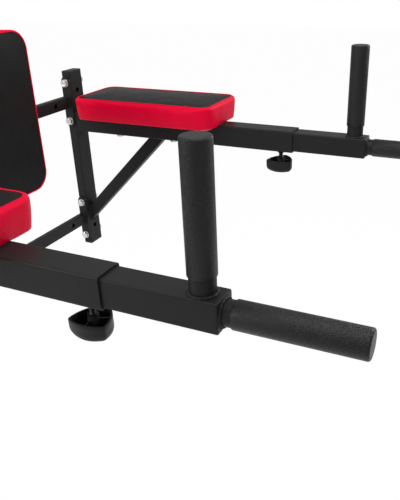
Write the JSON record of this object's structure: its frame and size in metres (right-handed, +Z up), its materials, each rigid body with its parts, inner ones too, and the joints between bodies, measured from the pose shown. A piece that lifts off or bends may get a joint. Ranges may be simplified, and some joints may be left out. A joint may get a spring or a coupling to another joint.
{
  "type": "wall-mounted dip station",
  "caption": "Wall-mounted dip and knee-raise frame with padded telescoping arms, hand grips, clamp knobs and a back pad.",
  "frame": {"origin": "centre of the four wall anchor holes in the uprights, on the wall plane", "axes": "+X to the right seen from in front, +Y into the wall, +Z up; the arms reach along -Y"},
  "size_m": [0.744, 0.789, 0.5],
  "materials": {
    "powder_coat": "satin black powder coat",
    "black_plastic": "moulded black plastic",
    "grip_rubber": "fine pebbled matt rubber",
    "red_vinyl": "satin vinyl with a fine grain",
    "black_vinyl": "satin vinyl with a fine grain",
    "zinc": "bright zinc plating",
    "black_steel": "black oxide",
    "nylon": "natural nylon",
    "plywood": "raw plywood"
  },
  "bodies": {
    "frame": {"left_upright": "powder_coat", "left_upright_top_plug": "black_plastic", "left_upright_bottom_plug": "black_plastic", "left_arm_sleeve": "powder_coat", "left_arm_brace": "powder_coat", "left_clamp_nut": "powder_coat", "left_arm_pad_board": "plywood", "left_arm_pad_cushion": "red_vinyl", "left_arm_pad_bolts": "zinc", "left_arm_pad_washers": "zinc", "left_arm_pad_tee_nuts": "zinc", "right_upright": "powder_coat", "right_upright_top_plug": "black_plastic", "right_upright_bottom_plug": "black_plastic", "right_arm_sleeve": "powder_coat", "right_arm_brace": "powder_coat", "right_clamp_nut": "powder_coat", "right_arm_pad_board": "plywood", "right_arm_pad_cushion": "red_vinyl", "right_arm_pad_bolts": "zinc", "right_arm_pad_washers": "zinc", "right_arm_pad_tee_nuts": "zinc", "upper_crossbar": "powder_coat", "lower_crossbar": "powder_coat", "upper_end_plates": "powder_coat", "lower_end_plates": "powder_coat", "crossbar_bolts": "zinc", "crossbar_washers": "zinc", "crossbar_lock_nuts": "zinc", "back_pad_board": "plywood", "back_pad_cushion": "black_vinyl", "back_pad_bolts": "zinc", "back_pad_washers": "zinc", "back_pad_tee_nuts": "zinc"},
    "left_handle": {"left_inner_tube": "powder_coat", "left_inner_tube_end_plate": "powder_coat", "left_inner_tube_guide": "black_plastic", "left_post_bar": "powder_coat", "left_post_grip": "grip_rubber", "left_nose_bar": "powder_coat", "left_nose_grip": "grip_rubber"},
    "left_knob_tip": {"left_clamp_tip": "nylon"},
    "left_knob": {"left_clamp_knob": "black_plastic", "left_clamp_screw": "black_steel"},
    "right_handle": {"right_inner_tube": "powder_coat", "right_inner_tube_end_plate": "powder_coat", "right_inner_tube_guide": "black_plastic", "right_post_bar": "powder_coat", "right_post_grip": "grip_rubber", "right_nose_bar": "powder_coat", "right_nose_grip": "grip_rubber"},
    "right_knob_tip": {"right_clamp_tip": "nylon"},
    "right_knob": {"right_clamp_knob": "black_plastic", "right_clamp_screw": "black_steel"}
  },
  "joints": [
    {"name": "left_arm_slide", "type": "slide", "parent": "frame", "child": "left_handle", "axis": [0, -1, 0], "range_m": [-0.085, 0.06]},
    {"name": "left_knob_travel", "type": "slide", "parent": "frame", "child": "left_knob_tip", "axis": [0, 0, -1], "range_m": [-0.0046, 0.0038]},
    {"name": "left_knob_turn", "type": "hinge", "parent": "left_knob_tip", "child": "left_knob", "pos_m": [-0.3, -0.483, 0.05], "axis": [0, 0, -1], "range_deg": [-1296, 1080]},
    {"name": "right_arm_slide", "type": "slide", "parent": "frame", "child": "right_handle", "axis": [0, -1, 0], "range_m": [-0.085, 0.06]},
    {"name": "right_knob_travel", "type": "slide", "parent": "frame", "child": "right_knob_tip", "axis": [0, 0, -1], "range_m": [0, 0.0038]},
    {"name": "right_knob_turn", "type": "hinge", "parent": "right_knob_tip", "child": "right_knob", "pos_m": [0.3, -0.483, 0.05], "axis": [0, 0, -1], "range_deg": [0, 1080]}
  ],
  "couplings": [
    {"joint": "left_knob_travel", "follows": "left_knob_turn", "m_per_rad": 0.00019894},
    {"joint": "right_knob_travel", "follows": "right_knob_turn", "m_per_rad": 0.00019894}
  ]
}
